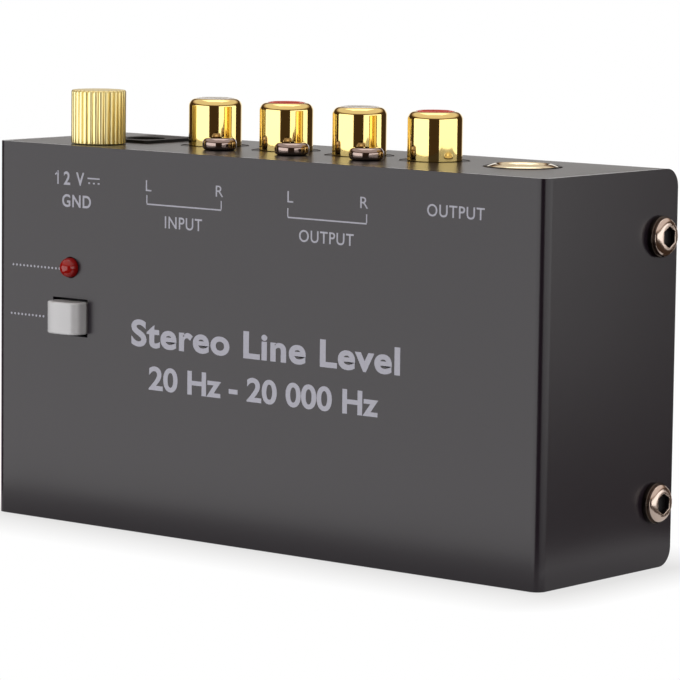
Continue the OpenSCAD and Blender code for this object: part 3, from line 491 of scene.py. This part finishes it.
nut_bore = [(2.05, 7.1), (2.05, 0.6), (3.25, 0.55), (3.25, 0)]
nut_wall = [(knob_r - 0.3, 0), (knob_r - 0.04, 0.03), (knob_r, 0.1), (knob_r, knob_tall - 0.3),
            (knob_r - 0.02, knob_tall - 0.2), (knob_r - 0.1, knob_tall - 0.08),
            (knob_r - 0.24, knob_tall - 0.01), (knob_r - 0.4, knob_tall), (knob_r - 1.4, knob_tall),
            (0, knob_tall)]
piece("thumb_nut", turned(nut_bore + nut_wall, knob_at, steps=360, shape=ribbed), gold_satin,
      "thumb_nut", ["ground_knob"], smooth=28.0)
piece("ground_stud_turned", softened_copy("ground_stud", 0.0002), gold_bright, "case",
      ["ground_stud"])

# ---- Phono sockets ----
# Gold plated barrels spun over at the top onto a coloured insulator, with a slotted contact
# in its middle. A black moulding carries all four and fills the holes of the panel.
RCA_R, RCA_TALL, SHOULDER = 4.175, 7.4, 1.2
RCA_FOOT = -8.5  # the lower end of barrel and insulator, under the panel's face
BARREL_IN, CORE_R = RCA_R - 0.6, RCA_R - 0.66
LIP_R, CONTACT_HOLE = RCA_R - SHOULDER, 2.0
NECK = LIP_R - 0.06
bend = [(LIP_R + SHOULDER * math.sin(a), RCA_TALL - SHOULDER + SHOULDER * math.cos(a))
        for a in [math.radians(90 - 90 * k / 12) for k in range(13)]]
shell = [(BARREL_IN, RCA_FOOT), (RCA_R - 0.2, RCA_FOOT), (RCA_R - 0.2, 0.0), (RCA_R - 0.06, 0.0),
         (RCA_R, 0.06), *bend, (LIP_R - 0.03, RCA_TALL - 0.02), (LIP_R - 0.04, RCA_TALL - 0.3),
         (LIP_R, RCA_TALL - SHOULDER + 0.02), (BARREL_IN, RCA_TALL - SHOULDER), (BARREL_IN, RCA_FOOT)]
crown = [(NECK, RCA_TALL - 0.24), (NECK - 0.03, RCA_TALL - 0.1), (NECK - 0.12, RCA_TALL + 0.01),
         (NECK - 0.3, RCA_TALL + 0.08), ((NECK + CONTACT_HOLE) / 2, RCA_TALL + 0.11),
         (CONTACT_HOLE + 0.2, RCA_TALL + 0.09), (CONTACT_HOLE + 0.05, RCA_TALL + 0.02),
         (CONTACT_HOLE, RCA_TALL - 0.1)]
core = [(1.0, RCA_FOOT), (CORE_R, RCA_FOOT), (CORE_R, RCA_TALL - SHOULDER - 0.06),
        (NECK, RCA_TALL - SHOULDER - 0.06), *crown, (CONTACT_HOLE, 5.76), (2.16, 5.75), (2.16, -6.0),
        (1.0, -6.0), (1.0, RCA_FOOT)]
for i, (ring, ring_slot) in enumerate([(white_ring, "white_insulator"), (red_ring, "red_insulator")] * 2, 1):
    low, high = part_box("rca_shell_%d" % i)
    at = Vector(((low[0] + high[0]) / 2, low[1] + RCA_R * MM, TOP))
    piece("phono_barrel_%d" % i, turned(shell, at), gold_bright, "case",
          ["rca_shell_%d" % i], smooth=40.0)
    piece("phono_insulator_%d" % i, turned(core, at), ring, "case",
          ["rca_insulator_%d" % i], smooth=40.0)

# ---- Hardware and openings of the case ----
# The screws, washers, collar and mouldings that show have their sharp edges broken, as
# turned, plated or moulded pieces do.
for name, node, width, finish, slot in (
        ("end_button_heads", "side_screws", 0.00007, bright_nickel, "nickel"),
        ("end_spring_washers", "side_washers", 0.00008, dull_steel, "spring_steel"),
        ("phone_moulding", "phone_body", 0.00008, black_gloss, "black_moulding"),
        ("socket_moulding", "rca_block", 0.00008, black_gloss, "black_moulding"),
        ("power_moulding", "dc_body", 0.00008, black_satin, "black_matt_moulding")):
    piece(name, softened_copy(node, width, 35.0), finish, "case", [node])

# The hexagon sockets of the end screws carry a near-black painted shade on their inside faces, where the
# recess lies in shade.
END_HEAD_R, RECESS_R, RECESS_DEEP, FACE_SKIN = 0.0028, 0.00162, 0.0025, 0.0001  # in metres
end_heads = bpy.data.objects["end_button_heads"].data
end_heads.materials.append(recess_shade)
end_low, end_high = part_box("side_screws")
end_face = end_high[0] - FACE_SKIN
end_axes = [(end_low[1] + END_HEAD_R, z) for z in (end_low[2] + END_HEAD_R, end_high[2] - END_HEAD_R)]
for flat in end_heads.polygons:
    x, y, z = flat.center
    off_axis = min(math.hypot(y - axis_y, z - axis_z) for axis_y, axis_z in end_axes)
    if end_face - RECESS_DEEP < abs(x) < end_face and off_axis < RECESS_R:
        flat.material_index = 1

# Three pan heads between the phono sockets, each with a cross recess.
HEAD_R, CROSS_LONG, CROSS_WIDE, CROSS_DEEP = 2.65, 3.0, 0.6, 2.0
head_outline = [(0, -8), (1.2, -8), (1.45, -7.6), (1.45, 0), (2.05, 0), *arc(2.05, 0.6, 0.6, -90, 0),
                *arc(1.8, 1.05, 0.85, 0, 80, 12), (1.2, 1.96), (0, 2.0)]
screw_low, screw_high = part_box("panel_screws")
heads = []
for share in (0.0, 0.5, 1.0):
    x = screw_low[0] + HEAD_R * MM + (screw_high[0] - screw_low[0] - 2 * HEAD_R * MM) * share
    at = Vector((x, (screw_low[1] + screw_high[1]) / 2, TOP))
    head = turned(head_outline, at)
    cross = bmesh.new()
    for turn in (45, 135):
        wing = bmesh.ops.create_cube(cross, size=MM)["verts"]
        bmesh.ops.transform(cross, verts=wing, matrix=Matrix.Translation(at + Vector((0, 0, 2 * MM)))
                            @ Matrix.Rotation(math.radians(turn), 4, "Z")
                            @ Matrix.Diagonal((CROSS_LONG, CROSS_WIDE, CROSS_DEEP, 1)))
    for shape in (head, cross):
        bmesh.ops.recalc_face_normals(shape, faces=shape.faces)
    heads.append(carved(head, cross))
piece("panel_pan_heads", joined(heads), dark_nickel, "case", ["panel_screws"],
      smooth=42.0)

# The thin pale collar of the headphone-size socket, rolled over into its bore.
collar = [(3.25, -6), (4.15, -6), (4.15, -0.75), (5.22, -0.75), (5.25, -0.7), (5.25, 0.03), (5.22, 0.06),
          (4.3, 0.38), (4.24, 0.4), (4.18, 0.38), *arc(4.45, -0.8, 1.2, 106, 180, 12), (3.25, -6)]
piece("phone_collar", turned(collar, Vector((*middle("phone_ferrule").xy, TOP))), pale_gold, "case",
      ["phone_ferrule"], smooth=50.0)

# The lamp: a dome on a flanged foot behind the front face.
LAMP_R, FLANGE_R, FLANGE_DEEP = 1.55, 1.9, 1.0
lamp_low, lamp_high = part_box("led_lens")
lamp_deep = (lamp_high[1] - lamp_low[1]) * 1000
lamp_at = Vector((middle("led_lens").x, lamp_high[1], middle("led_lens").z))
lamp = [(0, 0), (FLANGE_R, 0), (FLANGE_R, FLANGE_DEEP), (LAMP_R, FLANGE_DEEP),
        *arc(0, lamp_deep - LAMP_R, LAMP_R, 0, 90, 24)]
piece("lamp_lens", turned(lamp, lamp_at, to_front=True), lens_red, "case", ["led_lens"],
      smooth=50.0)

# ---- Key ----
# A moulded cap with a slight crown across its width, wide soft upright edges and finer ones
# above and below.
CAP_CROWN, CAP_CORNER, CAP_RIM = 0.45, 1.25, 0.3
cap_low, cap_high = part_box("button_cap")
cap_half, cap_deep = (cap_high[0] - cap_low[0]) * 500, (cap_high[1] - cap_low[1]) * 1000
cap_tall = (cap_high[2] - cap_low[2]) * 1000
cap_flat = cap_half - CAP_CORNER


def cap_front(x):
    """Depth of the cap's face behind its middle, across its width: a crown and two round corners."""
    beyond = max(0.0, abs(x) - cap_flat)
    return CAP_CROWN * (x / cap_half) ** 2 + CAP_CORNER - math.sqrt(max(0.0, CAP_CORNER ** 2 - beyond ** 2))


corner = [CAP_CORNER * math.sin(math.radians(9 * k)) + cap_half - CAP_CORNER for k in range(11)]
across_cap = [-x for x in reversed(corner)] + [cap_flat * k / 4 for k in range(-3, 4)] + corner
cap = bmesh.new()
plan = [cap.verts.new((x, cap_front(x), 0)) for x in across_cap]
plan += [cap.verts.new((x, cap_deep, 0)) for x in (cap_half, -cap_half)]
raised = bmesh.ops.extrude_face_region(cap, geom=[cap.faces.new(plan)])["geom"]
bmesh.ops.translate(cap, verts=[v for v in raised if isinstance(v, bmesh.types.BMVert)],
                    vec=(0, 0, cap_tall))
bmesh.ops.recalc_face_normals(cap, faces=cap.faces)
rims = [e for e in cap.edges if abs(e.verts[0].co.z - e.verts[1].co.z) < 0.001]
bmesh.ops.bevel(cap, geom=rims, affect="EDGES", offset=CAP_RIM, segments=5, profile=0.5, material=-1,
                clamp_overlap=True)
bmesh.ops.transform(cap, verts=cap.verts, matrix=Matrix.Translation(
    ((cap_low[0] + cap_high[0]) / 2, cap_low[1], cap_low[2])) @ Matrix.Scale(MM, 4))
piece("key_cap", cap, key_grey, "button", ["button_cap"], smooth=60.0)

# ---- Return spring of the key ----
# A coil of spring wire behind the plunger.
coil = piece("key_return_spring", softened_copy("switch_spring", 0), dull_steel, "case",
             ["switch_spring"], smooth=60.0)
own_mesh(coil)

# ---- Table ----
# A small matt plate under the object. To the camera it is mostly white, and wholly so a
# little way past the object, so only a faint shadow shows on it. In reflections and through
# the lens of the lamp it glows less.
TABLE_HALF, TABLE_DROP = (0.072, 0.038), 0.0001
FADE, SIDE_FADE, NEAR_WHITE, MIRRORED_WHITE = 0.016, 1.6, 0.7, 0.4
plate = bmesh.new()
bmesh.ops.create_grid(plate, x_segments=1, y_segments=1, size=1.0,
                      matrix=Matrix.Diagonal((*TABLE_HALF, 1, 1)))
table_data = bpy.data.meshes.new("table")
plate.to_mesh(table_data)
plate.free()
table = bpy.data.objects.new("table", table_data)
table.location.z = -TABLE_DROP
bpy.context.scene.collection.objects.link(table)
ground = Finish("table", Base_Color=(0.5, 0.5, 0.5, 1.0), Roughness=0.9, Specular_IOR_Level=0.0)
table_data.materials.append(ground.material)
ground_x, ground_y, _ = ground.split(ground.place())
past_x = (ground_x.math("ABSOLUTE") - cad_box[1][0]).math("MAXIMUM", 0.0) * SIDE_FADE
past_y = (ground_y.math("ABSOLUTE") - cad_box[1][1]).math("MAXIMUM", 0.0)
beyond = (past_x * past_x + past_y * past_y).math("SQRT")
by_camera, by_mirror, by_lens = ground.output(
    "LightPath", "Is Camera Ray", "Is Glossy Ray", "Is Transmission Ray")
far = (beyond / FADE).held() * (1 - NEAR_WHITE) + NEAR_WHITE
shown = (by_camera * far + (by_mirror + by_lens) * MIRRORED_WHITE).held()
white = ground.node("Emission", Color=(1, 1, 1, 1), Strength=1.0)
surface = Wire(ground.tree, ground.shader.outputs[0])
blend = ground.node("MixShader", _0=shown, _1=surface, _2=white)
ground.tree.links.new(blend.socket, ground.tree.nodes["Material Output"].inputs[0])

# ---- Light ----
# The object reflects a white backdrop behind it that ends a little above it, a ceiling, and a
# dim warm room everywhere else. The camera itself sees plain white. Three soft boxes stand to
# the left and the right of the camera, and above and behind the object.
BACKDROP_EDGE, BACKDROP_BLUR = 0.82, 0.10
BACKDROP_END, BACKDROP_FALL = 0.16, 9.0
CEILING_FROM, CEILING_FALL, CEILING_LEVEL = 0.36, 5.0, 0.75
ROOM_LEVEL, ROOM_TONE = 0.05, (1.0, 0.6, 0.36, 1.0)
world = bpy.data.worlds.new("studio")
bpy.context.scene.world = world
world.use_nodes = True
sky = Tree(world.node_tree)
sky_x, sky_y, sky_z = sky.split(sky.output("TexCoord", "Generated")[0])
away = sky_x * ahead.x + sky_y * ahead.y
behind = ((away - BACKDROP_EDGE) / BACKDROP_BLUR).held()
above = ((sky_z - CEILING_FROM) * CEILING_FALL).held()
low_sky = 1.0 - ((sky_z - BACKDROP_END) * BACKDROP_FALL).held()
level = behind * low_sky + above * CEILING_LEVEL + ROOM_LEVEL
level = level + sky.output("LightPath", "Is Camera Ray")[0] * (1.0 - level)
tone = sky.mix(level.held(), ROOM_TONE, (1.0, 1.0, 1.0, 1.0))
background = world.node_tree.nodes["Background"]
feed(sky.tree, background.inputs["Strength"], level)
feed(sky.tree, background.inputs["Color"], tone)


def soft_box(name, turn, far_off, rise, size, level):
    """A soft box aimed at the object: degrees from the camera's side, distance, height, size
    and radiance."""
    lamp = bpy.data.lights.new(name, "AREA")
    lamp.shape, lamp.size, lamp.size_y = "RECTANGLE", *size
    lamp.energy = level * math.pi * size[0] * size[1]
    angle = math.atan2(-ahead.y, -ahead.x) + math.radians(turn)
    place = Vector((math.cos(angle) * far_off, math.sin(angle) * far_off, rise))
    aim = Vector((0, 0, rise * 0.6)) - place
    holder = bpy.data.objects.new(name, lamp)
    holder.matrix_world = Matrix.Translation(place) @ aim.to_track_quat("-Z", "Y").to_matrix().to_4x4()
    bpy.context.scene.collection.objects.link(holder)


soft_box("left box", -62.5, 0.9, -0.1, (1.34, 0.86), 1.86)
soft_box("right box", 60.0, 0.9, 0.1, (1.7, 0.46), 1.62)
soft_box("overhead box", 180.0, 0.25, 1.0, (0.7, 0.7), 1.2)
